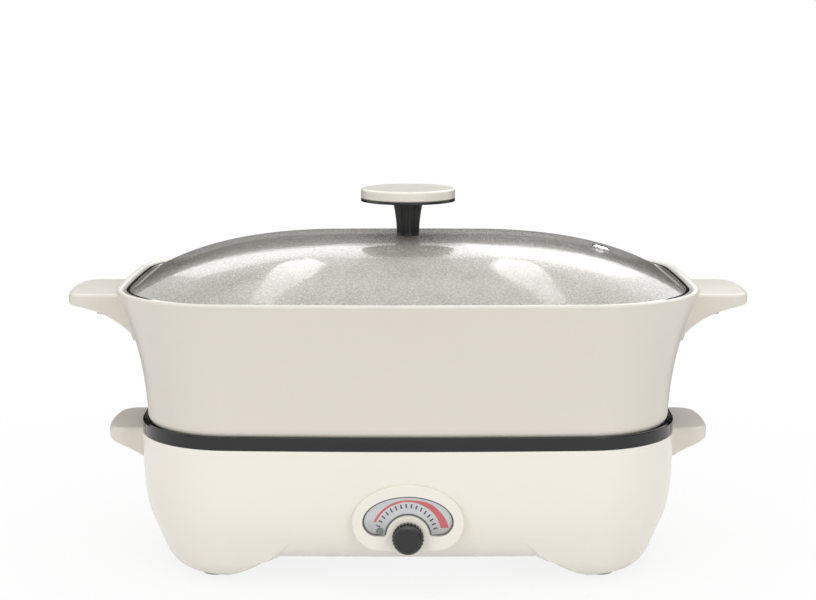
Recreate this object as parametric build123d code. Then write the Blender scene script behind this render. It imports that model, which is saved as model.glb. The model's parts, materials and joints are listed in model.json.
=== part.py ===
from build123d import *
import math
import os
from collections import namedtuple

# Electric hot pot: a heated base, a lift-off pot with its own element, and a glass lid.
# Millimetres, +Z up. The origin is on the table under the middle of the base.
# +X runs along the long side, and the dial is on the -Y side.
# The three pieces are drawn put together: pot on the base, lid on the pot.

os.makedirs("parts", exist_ok=True)

# ---------------------------------------------------------------- plan outlines
pot_length, pot_depth, pot_corner = 390.6, 253.0, 80.0
base_length, base_depth, base_corner = 361.4, 217.8, 66.0
lid_clearance = 2.1
long_bow_share, short_bow_share = 0.038, 0.046

# ---------------------------------------------------------------- base housing
foot_height = 3.0
belly_height = 16.5
housing_height = 95.0
housing_wall = 2.6
leg_join_z, leg_slope, leg_sink = 36.0, 0.405, 0.15
leg_turn, leg_turn_height = 7.4, 13.0
belly_tuck, belly_tuck_power, belly_turn = 30.0, 3.7, 0.8
leg_x, leg_y = 130.0, 62.5
leg_pad_radius, leg_spread, leg_flare_height, leg_top_spread = 15.0, 33.0, 13.5, 22.0
foot_radius, foot_stem_radius, foot_barb_radius = 9.0, 3.0, 4.2

# ---------------------------------------------------------------- black tray
band_height = 9.1
seat_drop = 3.1
lip_thickness, lip_bevel, seat_bevel = 2.8, 1.5, 0.9
seat_width = 11.2
tray_wall = 2.5
tray_floor_drop = 26.0
well_ledge_drop, well_step = 5.6, 2.5
ridge_height, ridge_width = 5.0, 3.2
side_boss_x, side_boss_y, side_boss_height, side_boss_radius = 158.5, 6.0, 15.0, 5.8
skirt_depth, skirt_thickness = 5.0, 2.0
post_height, post_radius, post_bore_radius = 15.0, 9.5, 3.6
post_shaft_radius, post_collar_height = 8.0, 3.6
rear_rib_y, rear_rib_half, rear_rib_height = 77.0, 1.0, 9.0
post_x, post_y, post_clearance = 126.0, 77.4, 0.3
socket_x, socket_y, socket_length, socket_depth = 98.5, 17.0, 41.0, 50.0
socket_plate_height, socket_height = 6.0, 7.2
socket_bore_radius, socket_collar_radius = 10.6, 13.4
tray_screw_x, tray_screw_y = 150.0, 36.0
hump_half, hump_reach, hump_height, hump_corner = 17.0, 9.0, 19.0, 6.0

# ---------------------------------------------------------------- coupler
pin_pitch, pin_y = 20.0, 11.0
pin_radius = 2.5
earth_pin_reach, power_pin_reach = 30.0, 27.3
block_half, block_front, block_back = 43.6, -18.5, 21.0
block_height, block_under = 15.0, 11.0
slot_width, slot_length, slot_floor = 10.0, 15.0, 3.0
ear_x, ear_y, ear_radius, ear_height, ear_web = 51.5, 9.6, 5.6, 13.0, 6.0
contact_gap, contact_thickness, contact_length = 0.35, 0.8, 8.0
contact_tab = 7.0
connector_boss_depth = 6.0

# ---------------------------------------------------------------- dial
dial_z = 38.8
bezel_face_y = -110.6
bezel_half, bezel_low, bezel_shoulder, bezel_top = 36.5, 29.1, 47.6, 73.6
window_half, window_low, window_shoulder, window_top = 29.6, 39.2, 48.7, 65.9
window_arch_radius, window_depth = 14.1, 3.0
bezel_edge_radius = 1.6
dial_plate_thickness, lens_thickness, lens_gap, fit_gap = 1.0, 0.8, 0.1, 0.15
knob_face_radius, knob_skirt_radius = 9.3, 10.2
knob_skirt_length, knob_face_length, knob_gap = 3.2, 5.6, 0.5
knob_flutes, knob_flute_radius = 26, 0.75
shaft_radius, shaft_hole_radius = 3.0, 4.0
lamp_x, lamp_z, lamp_radius = -18.2, 42.4, 2.2
thermostat_width, thermostat_height, thermostat_depth = 34.0, 26.0, 22.0
thermostat_set_back = 9.0
bracket_width, bracket_thickness, bracket_clearance = 54.0, 1.5, 0.1

# ---------------------------------------------------------------- handles
pot_handle_tip, pot_handle_half_width = 233.6, 36.0
pot_handle_drop, pot_handle_thickness, pot_handle_root_drop = 7.3, 8.2, 39.0
pot_flange_thickness, pot_flange_extra = 4.2, 3.0
base_handle_tip, base_handle_half_width = 208.5, 33.0
base_handle_drop, base_handle_thickness, base_handle_root_drop = 2.8, 8.6, 20.0
handle_corner, handle_edge = 13.0, 2.6
pot_handle_sag, base_handle_sag = 5.5, 1.0

# ---------------------------------------------------------------- pot
pot_height = 92.0
pot_taper, pot_taper_power = 18.9, 2.1
pot_wall, pot_floor = 4.2, 4.0
pot_bottom_radius, pot_inside_radius = 8.0, 13.0
rim_wall, rim_edge, lid_step, lid_ledge = 4.5, 1.7, 7.5, 6.0
heater_past_leg_x, heater_past_leg_y, heater_corner, heater_thickness = 3.5, 10.0, 50.0, 7.0
element_half_x, element_half_y, element_corner, element_radius = 95.0, 60.0, 36.0, 3.0
element_bend = 9.0
pot_leg_reach, pot_leg_root, pot_leg_tip = 23.0, 3.15, 2.2

# ---------------------------------------------------------------- lid
band_rise, band_wall, band_grip, glass_tuck = 6.6, 0.8, 2.2, 1.3
dome_rise, dome_power, glass_thickness = 31.9, 3.5, 4.0
stem_height, stem_low_radius, stem_mid_radius, stem_top_radius = 24.0, 7.8, 8.6, 10.6
stem_flutes, stem_flute_radius = 20, 0.8
cap_radius, cap_height, cap_edge, disc_height = 32.5, 7.0, 1.6, 1.7
lid_screw_radius, lid_screw_head_radius, lid_screw_bite = 2.5, 4.8, 14.0
lid_washer_radius, lid_washer_height = 9.0, 1.2
lid_seal_radius, lid_seal_height = 10.0, 1.5
vent_x, vent_radius, vent_bore_radius, vent_flange = 134.0, 4.6, 2.6, 2.0

# ---------------------------------------------------------------- fasteners and wiring
screw_radius, screw_head_radius, screw_head_height = 1.8, 3.5, 2.2
boss_radius = 4.6
tray_boss_rise, tray_screw_length, connector_screw_length = 2.0, 16.0, 16.0
ear_screw_sink = 3.0
heater_screw_x, heater_screw_y = 110.0, 58.0
wire_radius, wire_bend = 1.3, 7.0
inlet_half_x, inlet_half_z, inlet_depth, inlet_flange = 21.0, 11.0, 24.0, 4.0
inlet_wall, inlet_pin_radius, inlet_pin_length, inlet_pin_pitch = 2.4, 2.3, 15.0, 12.0
plate_half_x, plate_half_y, plate_corner, plate_thickness = 78.0, 62.0, 20.0, 2.2

# ---------------------------------------------------------------- worked-out heights
tray_top = housing_height + band_height
tray_seat_z = tray_top - seat_drop
floor_z = tray_seat_z - tray_floor_drop
well_ledge_z = tray_seat_z - well_ledge_drop
seating_gap = 0.05
seat_z = tray_seat_z + seating_gap
inlet_z = floor_z - tray_wall - inlet_half_z - 1.0
rim_z = seat_z + pot_height
ledge_z = rim_z - lid_step
band_top = ledge_z + band_rise
dome_z = band_top - band_wall - glass_tuck
apex_z = dome_z + dome_rise
heater_z = seat_z - heater_thickness

wall_steps = 5

Plan = namedtuple("Plan", "half_x half_y corner")
pot_plan = Plan(pot_length / 2, pot_depth / 2, pot_corner)
base_plan = Plan(base_length / 2, base_depth / 2, base_corner)
lid_gap = rim_wall + lid_clearance
lid_plan = Plan(pot_plan.half_x - lid_gap, pot_plan.half_y - lid_gap, pot_plan.corner - lid_gap)
heater_plan = Plan(post_x + heater_past_leg_x, post_y + heater_past_leg_y, heater_corner)


def save(solids, name):
    """Write one sub-part, a solid or a list of separate solids, under its own name."""
    group = solids if isinstance(solids, list) else [solids]
    pieces = [solid for item in group for solid in item.solids()]
    shape = pieces[0] if len(pieces) == 1 else Compound(children=pieces)
    shape.label = name
    export_step(shape, f"parts/{name}.step")


# ---------------------------------------------------------------- shared geometry
def outline(plan, z, inset=0.0, scale=1.0):
    """Closed plan outline: four gently bowed sides joined by round corners."""
    half_x, half_y, corner = (value * scale for value in plan)
    bow_x, bow_y = half_x * long_bow_share, half_y * short_bow_share
    long_radius = (half_x ** 2 + bow_x ** 2) / (2 * bow_x)
    short_radius = (half_y ** 2 + bow_y ** 2) / (2 * bow_y)
    long_centre = Vector(0, half_y - long_radius)
    short_centre = Vector(half_x - short_radius, 0)
    between = short_centre - long_centre
    reach_long, reach_short = long_radius - corner, short_radius - corner
    along = (reach_long ** 2 - reach_short ** 2 + between.length ** 2) / (2 * between.length)
    across = math.sqrt(reach_long ** 2 - along ** 2)
    unit = between.normalized()
    centre = long_centre + unit * along + Vector(unit.Y, -unit.X) * across
    radius = corner - inset
    to_long = (centre - long_centre).normalized()
    to_short = (centre - short_centre).normalized()
    start = centre + to_long * radius
    end = centre + to_short * radius
    middle = centre + (to_long + to_short).normalized() * radius

    def at(point, side_x=1, side_y=1):
        return (point.X * side_x, point.Y * side_y, z)

    top, right = Vector(0, half_y - inset), Vector(half_x - inset, 0)
    edges = [
        ThreePointArc(at(start, -1), at(top), at(start)),
        ThreePointArc(at(start), at(middle), at(end)),
        ThreePointArc(at(end), at(right), at(end, 1, -1)),
        ThreePointArc(at(end, 1, -1), at(middle, 1, -1), at(start, 1, -1)),
        ThreePointArc(at(start, 1, -1), at(top, 1, -1), at(start, -1, -1)),
        ThreePointArc(at(start, -1, -1), at(middle, -1, -1), at(end, -1, -1)),
        ThreePointArc(at(end, -1, -1), at(right, -1), at(end, -1)),
        ThreePointArc(at(end, -1), at(middle, -1), at(start, -1)),
    ]
    return Wire(edges)


def prism(plan, low, high, inset=0.0):
    """Straight-sided solid on a plan outline."""
    return Solid.extrude(Face(outline(plan, low, inset)), Vector(0, 0, high - low))


def ring(plan, low, high, outer_inset, inner_inset):
    """Straight-sided ring between two parallel outlines."""
    return prism(plan, low, high, outer_inset) - prism(plan, low, high, inner_inset)


def stacked(*groups):
    """Solid made of smooth lofts that stand on each other, one for each list of outlines."""
    shape = Solid.make_loft(groups[0])
    for group in groups[1:]:
        shape += Solid.make_loft(group)
    return shape


def quarter_turns(count=3):
    """Cosine and sine at even steps through a right angle."""
    angles = [math.pi / 2 * index / count for index in range(count + 1)]
    return [(math.cos(angle), math.sin(angle)) for angle in angles]


def rod(x, y, low, high, radius, top_radius=None):
    """Upright round bar or cone between two heights."""
    length = high - low
    if top_radius is None:
        return Pos(x, y, low) * extrude(Circle(radius), length)
    return Pos(x, y, low) * Solid.make_cone(radius, top_radius, length)


def block(low_corner, high_corner):
    """Box between two corners."""
    size = [high - low for low, high in zip(low_corner, high_corner)]
    middle = [(high + low) / 2 for low, high in zip(low_corner, high_corner)]
    return Pos(*middle) * Box(*size)


def bar_y(x, z, front, back, radius):
    """Round bar along Y."""
    return Pos(x, front, z) * (Rot(-90, 0, 0) * extrude(Circle(radius), back - front))


def bar_x(y, z, start, end, radius):
    """Round bar along X."""
    return Pos(start, y, z) * (Rot(0, 90, 0) * extrude(Circle(radius), end - start))


def corners(x, y):
    """The four mirror places of a point, front left first."""
    return [(side_x * x, side_y * y) for side_y in (-1, 1) for side_x in (-1, 1)]


def screw_down(x, y, seat, length, tip_z_sign=-1):
    """Pan-head screw standing on its seat, with its thread going down or up."""
    head = seat if tip_z_sign < 0 else seat - screw_head_height
    thread = seat - length if tip_z_sign < 0 else seat
    shape = rod(x, y, head, head + screw_head_height, screw_head_radius)
    return shape + rod(x, y, thread, thread + length, screw_radius)


# ---------------------------------------------------------------- base housing
def belly_inset(z):
    """How far the belly has drawn in at a height, turning under at its flat bottom."""
    share = (housing_height - z) / (housing_height - belly_height)
    return belly_tuck * (1 - math.sqrt(max(0.0, 1 - share ** belly_tuck_power)))


def belly_solid(wall=0.0):
    """Filled belly of the housing, shrunk by a wall all round and underneath."""
    height = housing_height - belly_height

    def section(share):
        z = housing_height - share * height
        lift = wall * max(0.0, share - belly_turn) / (1 - belly_turn)
        return outline(base_plan, z + lift, belly_inset(z) + wall)

    side = [section(belly_turn * step / wall_steps) for step in range(wall_steps + 1)]
    under = [section(belly_turn + (1 - belly_turn) * sine) for _, sine in quarter_turns(5)]
    return stacked(side, under)


def leg_solid(wall=0.0):
    """Front right leg: a flared foot of revolution kept inside faces that run on from the belly's."""
    pad = leg_pad_radius - wall
    spread = pad + leg_spread
    low = foot_height + wall
    shoulder = low + leg_flare_height
    flare = Spline(
        (pad, low), (pad + leg_spread * 0.3, low + leg_flare_height * 0.13),
        (pad + leg_spread * 0.56, low + leg_flare_height * 0.46),
        (pad + leg_spread * 0.78, low + leg_flare_height * 0.82), (spread, shoulder))
    sides = Polyline((spread, shoulder), (spread + leg_top_spread, leg_join_z), (0, leg_join_z),
                     (0, low), (pad, low))
    profile = Plane.XZ * make_face(flare + sides)
    bulge = Pos(leg_x, -leg_y, 0) * revolve(profile, Axis.Z)
    side = [leg_section(leg_join_z - (leg_join_z - low - leg_turn_height) * step / 3, 0.0, wall)
            for step in range(4)]
    under = [leg_section(low + leg_turn_height * (1 - sine), 1 - cosine, wall)
             for cosine, sine in quarter_turns(5)]
    return bulge & stacked(side, under)


def leg_section(z, turned, wall):
    """Outline of the leg faces at a height, after a share of their turn under the foot."""
    inset = belly_inset(leg_join_z) + leg_slope * (leg_join_z - z) + leg_turn * turned
    return outline(base_plan, z, inset + leg_sink + wall)


def leg_solids(wall=0.0):
    """The four legs, or the hollows inside them when a wall is given."""
    front_right = leg_solid(wall)
    right = [front_right, mirror(front_right, Plane.XZ)]
    return right + [mirror(leg, Plane.YZ) for leg in right]


housing_filled = belly_solid()


def tray_bosses():
    """Columns that carry the tray screws, from the bottom of the shell to the tray floor."""
    top = floor_z - tray_wall
    return [rod(x, y, foot_height, top, boss_radius)
            for x, y in corners(tray_screw_x, tray_screw_y)]


plate_screw_x, plate_screw_y = plate_half_x - 8.0, plate_half_y - 8.0
plate_boss_height = 12.0
handle_screw_y = 18.0
handle_screw_z = housing_height - base_handle_drop - base_handle_thickness


def housing():
    """Cream housing: open at the top, four legs, and a service opening underneath."""
    filled = housing_filled
    for leg in leg_solids():
        filled += leg
    hollow = belly_solid(housing_wall)
    for leg_hollow in leg_solids(housing_wall):
        hollow += leg_hollow
    shape = filled - hollow
    belly_top = belly_height + housing_wall
    for column in tray_bosses():
        shape += column & filled
    for x, y in corners(tray_screw_x, tray_screw_y):
        shape -= rod(x, y, belly_height + plate_boss_height, floor_z, screw_radius)
    opening = Plan(plate_half_x - 16.0, plate_half_y - 16.0, plate_corner - 8.0)
    shape -= prism(opening, belly_height - 1, belly_top + 1)
    for x, y in corners(plate_screw_x, plate_screw_y):
        shape += rod(x, y, belly_height, belly_top + plate_boss_height, boss_radius)
        shape -= rod(x, y, belly_height - 1, belly_top + plate_boss_height - 2, screw_radius)
    for x, y in corners(leg_x, leg_y):
        shape -= rod(x, y, 0, foot_height + housing_wall + 1, foot_stem_radius)
    shape -= bar_y(0, dial_z, bezel_face_y, bezel_face_y + 20, shaft_hole_radius)
    shape -= upright(window_face(), bezel_face_y, window_depth)
    inlet_back = base_plan.half_y
    shape -= block((-inlet_half_x, inlet_back - 14, inlet_z - inlet_half_z),
                   (inlet_half_x, inlet_back + 3, inlet_z + inlet_half_z))
    for side in (-1, 1):
        for y in (-handle_screw_y, handle_screw_y):
            start = side * (base_plan.half_x - 8)
            shape -= bar_x(y, handle_screw_z, min(start, side * (base_plan.half_x + 3)),
                           max(start, side * (base_plan.half_x + 3)), screw_radius)
    return shape


def rubber_foot(x, y):
    """Round foot with a push-in stem and a barb inside the leg."""
    inside = foot_height + housing_wall
    foot = fillet(rod(x, y, 0, foot_height, foot_radius).edges().group_by(Axis.Z)[0], 1.2)
    stem = rod(x, y, foot_height, inside, foot_stem_radius)
    barb = rod(x, y, inside, inside + 2.5, foot_barb_radius, foot_stem_radius - 0.6)
    return foot + stem + barb


def bottom_plate():
    """Screwed service cover under the belly, with cooling slots."""
    plan = Plan(plate_half_x, plate_half_y, plate_corner)
    shape = prism(plan, belly_height - plate_thickness, belly_height)
    slot_pitch, slot_count, slot_half = 9.0, 9, 22.0
    for index in range(slot_count):
        x = (index - (slot_count - 1) / 2) * slot_pitch
        shape -= block((x - 1.6, -slot_half, 0), (x + 1.6, slot_half, belly_height + 1))
    for x, y in corners(plate_screw_x, plate_screw_y):
        shape -= rod(x, y, 0, belly_height + 1, screw_radius)
    return shape


# ---------------------------------------------------------------- black tray
wall_inset = seat_width + lip_thickness
well_inset = wall_inset + well_step
block_wall_gap = 0.2
skirt_inset = housing_wall + 0.3
post_spigot_radius = screw_radius + 1.2


def bevel_cut(plan, top, inset, size):
    """Ring-shaped cutter that bevels the inner top edge of a wall."""
    return Solid.make_loft([outline(plan, top - size, inset), outline(plan, top + 0.01, inset - size)],
                           ruled=True)


def upper_tray():
    """Glossy black tray: outer band, raised lip, seat for the pot and a stepped deep well."""
    under_seat = tray_seat_z - 3.0
    band = prism(base_plan, housing_height, tray_top)
    band = fillet(band.edges().group_by(Axis.Z)[-1], 1.0)
    shape = band - prism(base_plan, tray_seat_z, tray_top + 1, lip_thickness)
    shape -= bevel_cut(base_plan, tray_top, lip_thickness, lip_bevel)
    shape -= ring(base_plan, housing_height - 1, under_seat, lip_thickness, wall_inset - tray_wall)
    shape += prism(base_plan, well_ledge_z - tray_wall, tray_seat_z, wall_inset - tray_wall)
    shape += prism(base_plan, floor_z - tray_wall, well_ledge_z, well_inset - tray_wall)
    shape -= prism(base_plan, well_ledge_z, tray_top + 1, wall_inset)
    shape -= bevel_cut(base_plan, tray_seat_z, wall_inset, seat_bevel)
    shape -= prism(base_plan, floor_z, well_ledge_z + 1, well_inset)
    ridge = ring(base_plan, floor_z, floor_z + ridge_height, well_inset - 1, well_inset + ridge_width)
    for x, y in corners(post_x, post_y):
        ridge -= rod(x, y, floor_z, floor_z + ridge_height + 1, post_radius + post_clearance)
    shape += ridge
    shape += ring(base_plan, housing_height - skirt_depth, under_seat,
                  skirt_inset, skirt_inset + skirt_thickness)
    shape += well_hump(0.0)
    shape -= well_hump(tray_wall)
    return tray_details(shape)


def well_hump(shrink):
    """Rounded hump at the back of the well, above the power inlet."""
    half = hump_half - shrink
    wall_y = base_plan.half_y - well_inset
    back = wall_y + (tray_wall if shrink else 0.6)
    low = floor_z - (tray_wall + 1 if shrink else tray_wall)
    hump = block((-half, wall_y - hump_reach + shrink, low), (half, back, floor_z + hump_height - shrink))
    return fillet(hump.edges().filter_by(Axis.Z).group_by(Axis.Y)[0], hump_corner - shrink)


def tray_details(shape):
    """Openings, bosses and screw holes on the floor of the well."""
    gap = block_wall_gap
    under = floor_z - tray_wall - 1
    shape -= block((-block_half - gap, block_front - gap, under),
                   (block_half + gap, block_back + gap, floor_z + 1))
    for x, y in corners(tray_screw_x, tray_screw_y):
        shape += rod(x, y, floor_z, floor_z + tray_boss_rise, boss_radius + 1.6)
        shape -= rod(x, y, under, floor_z + tray_boss_rise + 1, screw_radius)
    for x, y in corners(post_x, post_y):
        shape -= rod(x, y, under, floor_z + 1, post_spigot_radius)
    rib_reach = post_x - post_radius - 1.0
    shape += block((-rib_reach, rear_rib_y - rear_rib_half, floor_z),
                   (rib_reach, rear_rib_y + rear_rib_half, floor_z + rear_rib_height))
    for side in (-1, 1):
        x = side * side_boss_x
        boss_top = floor_z + side_boss_height
        shape += rod(x, side_boss_y, floor_z, boss_top, side_boss_radius)
        shape -= rod(x, side_boss_y, boss_top - 8.0, boss_top + 1, side_boss_radius / 2)
        shape -= rod(side * socket_x, socket_y, under, floor_z + 1, socket_bore_radius)
        shape += rod(side * ear_x, ear_y, under + 1 - connector_boss_depth, floor_z, boss_radius)
        shape -= rod(side * ear_x, ear_y, under - connector_boss_depth, floor_z + 1, screw_radius)
    return shape


def post(x, y):
    """Glossy post with a wider collar, whose bore takes one of the pot's locating legs."""
    top = floor_z + post_height
    collar = rod(x, y, top - post_collar_height, top, post_radius)
    collar = fillet(collar.edges().group_by(Axis.Z)[-1], 1.4)
    shape = collar + rod(x, y, floor_z, top - post_collar_height / 2, post_shaft_radius)
    spigot = rod(x, y, floor_z - tray_wall - 2, floor_z, post_spigot_radius)
    bore = rod(x, y, floor_z + 1.5, top + 1, post_bore_radius)
    countersink = rod(x, y, top - 2, top, post_bore_radius, post_bore_radius + 2)
    return shape + spigot - bore - countersink


def socket_plate(side):
    """Square pad with a raised round collar over a drain hole."""
    x = side * socket_x
    half_x, half_y = socket_length / 2, socket_depth / 2
    shape = block((x - half_x, socket_y - half_y, floor_z),
                  (x + half_x, socket_y + half_y, floor_z + socket_plate_height))
    shape = fillet(shape.edges().filter_by(Axis.Z), 3.0)
    shape = chamfer(shape.edges().group_by(Axis.Z)[-1], 1.2)
    collar = rod(x, socket_y, floor_z, floor_z + socket_height, socket_collar_radius)
    collar = fillet(collar.edges().group_by(Axis.Z)[-1], 0.9)
    shape += collar
    shape -= rod(x, socket_y, floor_z - 1, floor_z + socket_height + 1, socket_bore_radius)
    return shape


# ---------------------------------------------------------------- coupler block
block_top = floor_z + block_height
block_low = floor_z - block_under
contact_floor = block_low + slot_floor


def connector_block():
    """Black block with three slots that take the pot's coupler pins."""
    shape = block((-block_half, block_front, block_low), (block_half, block_back, block_top))
    shape = chamfer(shape.edges().group_by(Axis.Z)[-1], 1.0)
    ear_top = floor_z + ear_height
    for side in (-1, 1):
        x = side * ear_x
        ear = rod(x, ear_y, floor_z, ear_top, ear_radius)
        shape += fillet(ear.edges().group_by(Axis.Z)[-1], 1.2)
        shape += block((min(0, x), ear_y - ear_web / 2, floor_z),
                       (max(0, x), ear_y + ear_web / 2, ear_top - 3))
        shape -= rod(x, ear_y, floor_z - 1, ear_top + 1, screw_radius)
        shape -= rod(x, ear_y, ear_top - ear_screw_sink, ear_top + 1, screw_head_radius + 0.2)
    for x in (-pin_pitch, 0, pin_pitch):
        shape -= block((x - slot_width / 2, pin_y - slot_length / 2, contact_floor),
                       (x + slot_width / 2, pin_y + slot_length / 2, block_top + 1))
        shape -= block((x - 2.2, pin_y - 1.2, block_low - 1), (x + 2.2, pin_y + 1.2, contact_floor + 1))
    return shape


def contact(x, pin_tip):
    """Sprung U-shaped contact that straddles a pin, with its wire tab below the block."""
    inner = pin_radius + contact_gap
    outer = inner + contact_thickness
    half = contact_length / 2
    top = block_top - 0.6
    web = min(contact_floor + contact_thickness, pin_tip - contact_gap)
    shape = block((x - half, pin_y - outer, contact_floor), (x + half, pin_y + outer, top))
    shape -= block((x - half - 1, pin_y - inner, web), (x + half + 1, pin_y + inner, top + 1))
    return shape + block((x - 2.0, pin_y - 1.0, block_low - contact_tab),
                         (x + 2.0, pin_y + 1.0, contact_floor + contact_thickness / 2))


# ---------------------------------------------------------------- dial
def domed_face(half, low, shoulder, top):
    """Upright outline with an elliptical dome and round lower corners, in the XZ plane."""
    radius = shoulder - low
    dome = EllipticalCenterArc((0, shoulder), half, top - shoulder, 0, arc_size=180)
    left = CenterArc((-half + radius, shoulder), radius, 180, 90)
    bottom = Line((-half + radius, low), (half - radius, low))
    right = CenterArc((half - radius, shoulder), radius, 270, 90)
    return make_face(dome + left + bottom + right)


def window_face(shrink=0.0):
    """Outline of the dial window, with an arch left free around the knob."""
    face = domed_face(window_half - shrink, window_low + shrink, window_shoulder, window_top - shrink)
    face -= Pos(0, dial_z) * Circle(window_arch_radius + shrink)
    lobe_tips = face.vertices().group_by(Axis.Y)[0].sort_by(Axis.X)[1:-1]
    return fillet(lobe_tips, 2.4)


def upright(face, front, depth):
    """Extrude an XZ outline backwards from its front face."""
    return extrude(Plane(origin=(0, front, 0), x_dir=(1, 0, 0), z_dir=(0, -1, 0)) * face, -depth)


plate_front = bezel_face_y + window_depth - dial_plate_thickness


def dial_bezel():
    """Raised cream frame around the scale, fitted to the curve of the housing."""
    face = domed_face(bezel_half, bezel_low, bezel_shoulder, bezel_top)
    shape = upright(face, bezel_face_y, 16.0)
    shape = fillet(shape.edges().group_by(Axis.Y)[0], bezel_edge_radius)
    shape -= upright(window_face(), bezel_face_y - 1, window_depth + 1)
    shape -= bar_y(0, dial_z, bezel_face_y - 1, bezel_face_y + 20, shaft_hole_radius)
    shape -= housing_filled
    return shape.solids().sort_by(Axis.Y)[0]


def dial_plate():
    """Silver scale plate lying in the window."""
    shape = upright(window_face(fit_gap), plate_front, dial_plate_thickness)
    return shape - bar_y(lamp_x, lamp_z, plate_front - 1, plate_front + 3, lamp_radius + fit_gap)


def dial_lens():
    """Clear cover over the scale plate."""
    shape = upright(window_face(fit_gap), plate_front - lens_gap - lens_thickness, lens_thickness)
    return shape - bar_y(lamp_x, lamp_z, plate_front - 3, plate_front + 1, lamp_radius + fit_gap)


def pilot_lamp():
    """Small round lamp that shows through the scale plate."""
    back = plate_front + dial_plate_thickness
    return fillet(bar_y(lamp_x, lamp_z, plate_front - lens_thickness, back, lamp_radius)
                  .edges().group_by(Axis.Y)[0], 0.5)


knob_back = bezel_face_y - knob_gap
knob_front = knob_back - knob_skirt_length - knob_face_length


def dial_knob():
    """Fluted black knob with a plain face."""
    skirt = bar_y(0, dial_z, knob_back - knob_skirt_length, knob_back, knob_skirt_radius)
    for index in range(knob_flutes):
        angle = 2 * math.pi * index / knob_flutes
        x = knob_skirt_radius * math.cos(angle)
        z = dial_z + knob_skirt_radius * math.sin(angle)
        skirt -= bar_y(x, z, knob_back - knob_skirt_length - 1, knob_back + 1, knob_flute_radius)
    face = bar_y(0, dial_z, knob_front, knob_back - knob_skirt_length, knob_face_radius)
    face = chamfer(face.edges().group_by(Axis.Y)[0], 1.2)
    bore = bar_y(0, dial_z, knob_front + 3.0, knob_back + 1, shaft_radius)
    return skirt + face - bore


thermostat_front = -base_plan.half_y + belly_inset(dial_z) + housing_wall + thermostat_set_back


def thermostat_shaft():
    """Steel shaft from the thermostat to the knob."""
    return bar_y(0, dial_z, knob_front + 3.0, thermostat_front - 0.3, shaft_radius)


def thermostat_body():
    """Bimetal thermostat with two terminal blades."""
    back = thermostat_front + thermostat_depth
    shape = block((-thermostat_width / 2, thermostat_front, dial_z - thermostat_height / 2),
                  (thermostat_width / 2, back, dial_z + thermostat_height / 2))
    shape = fillet(shape.edges().filter_by(Axis.Y), 4.0)
    for x in (-terminal_x, terminal_x):
        shape += block((x - 3, back - 1, dial_z - 0.4), (x + 3, back + terminal_length, dial_z + 0.4))
    return shape


terminal_x, terminal_length = 9.0, 7.0
thermostat_back = thermostat_front + thermostat_depth + terminal_length


def thermostat_bracket():
    """Steel strap that holds the thermostat to the inside of the front wall."""
    half, pad_half = bracket_width / 2, 5.0
    front = thermostat_front - bracket_thickness
    shape = block((-half, front, dial_z - 10), (half, thermostat_front, dial_z + 10))
    shape -= bar_y(0, dial_z, front - 1, thermostat_front + 1, shaft_hole_radius)
    for side in (-1, 1):
        x = side * (half - pad_half)
        pad = block((x - pad_half, -base_plan.half_y, dial_z - pad_half),
                    (x + pad_half, front, dial_z + pad_half))
        shape += pad & belly_solid(housing_wall + bracket_clearance)
    return shape


# ---------------------------------------------------------------- handles
def extended_arc(start, middle, end, extra):
    """Arc through three points that runs on past its end by a length."""
    a, b, c = Vector(*start), Vector(*middle), Vector(*end)
    cross = 2 * ((b.X - a.X) * (c.Y - a.Y) - (b.Y - a.Y) * (c.X - a.X))
    square_b, square_c = (b - a).length ** 2, (c - a).length ** 2
    centre = a + Vector((c.Y - a.Y) * square_b - (b.Y - a.Y) * square_c,
                        (b.X - a.X) * square_c - (c.X - a.X) * square_b) * (1 / cross)
    radius = (a - centre).length
    turn = math.degrees(extra / radius) * (1 if cross > 0 else -1)
    last = centre + (c - centre).rotate(Axis.Z, turn)
    return ThreePointArc(start, end, (last.X, last.Y)), last


def wing(tip, half_width, top, thickness, root_x, root_low, sag):
    """Horizontal grip: flat top, arched underside and a rounded tip in plan."""
    inside = root_x - 16
    low_tip = top - thickness
    start, end = (tip, low_tip), (root_x + 2.0, root_low)
    middle = ((start[0] + end[0]) / 2 - sag * 0.5, (start[1] + end[1]) / 2 + sag)
    underside, last = extended_arc(start, middle, end, 12.0)
    frame = Polyline((last.X, last.Y), (inside, last.Y), (inside, top), (tip, top), start)
    body = extrude(Plane.XZ * make_face(underside + frame), half_width + 5, both=True)
    end_bow = 4.0
    shoulder_x = tip - end_bow
    plan_edges = Polyline((shoulder_x, half_width), (inside, half_width), (inside, -half_width),
                          (shoulder_x, -half_width))
    end_arc = ThreePointArc((shoulder_x, -half_width), (tip - 0.01, 0), (shoulder_x, half_width))
    plan = make_face(plan_edges + end_arc)
    plan = fillet(plan.vertices().group_by(Axis.X)[-1], handle_corner)
    shape = body & (Pos(0, 0, last.Y - 1) * extrude(plan, top - last.Y + 2))
    rounded = [edge for edge in shape.edges()
               if abs((edge % 0.5).Z) < 0.95 and edge.center().X > inside + 1
               and edge.center().Z > last.Y + 0.5]
    return fillet(rounded, handle_edge)


def pot_inset(depth):
    """How far the pot's side has drawn in at a depth below the rim."""
    share = max(0.0, min(1.0, (depth - rim_edge) / (pot_height - rim_edge)))
    return pot_taper * (1 - (1 - share) ** pot_taper_power)


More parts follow.
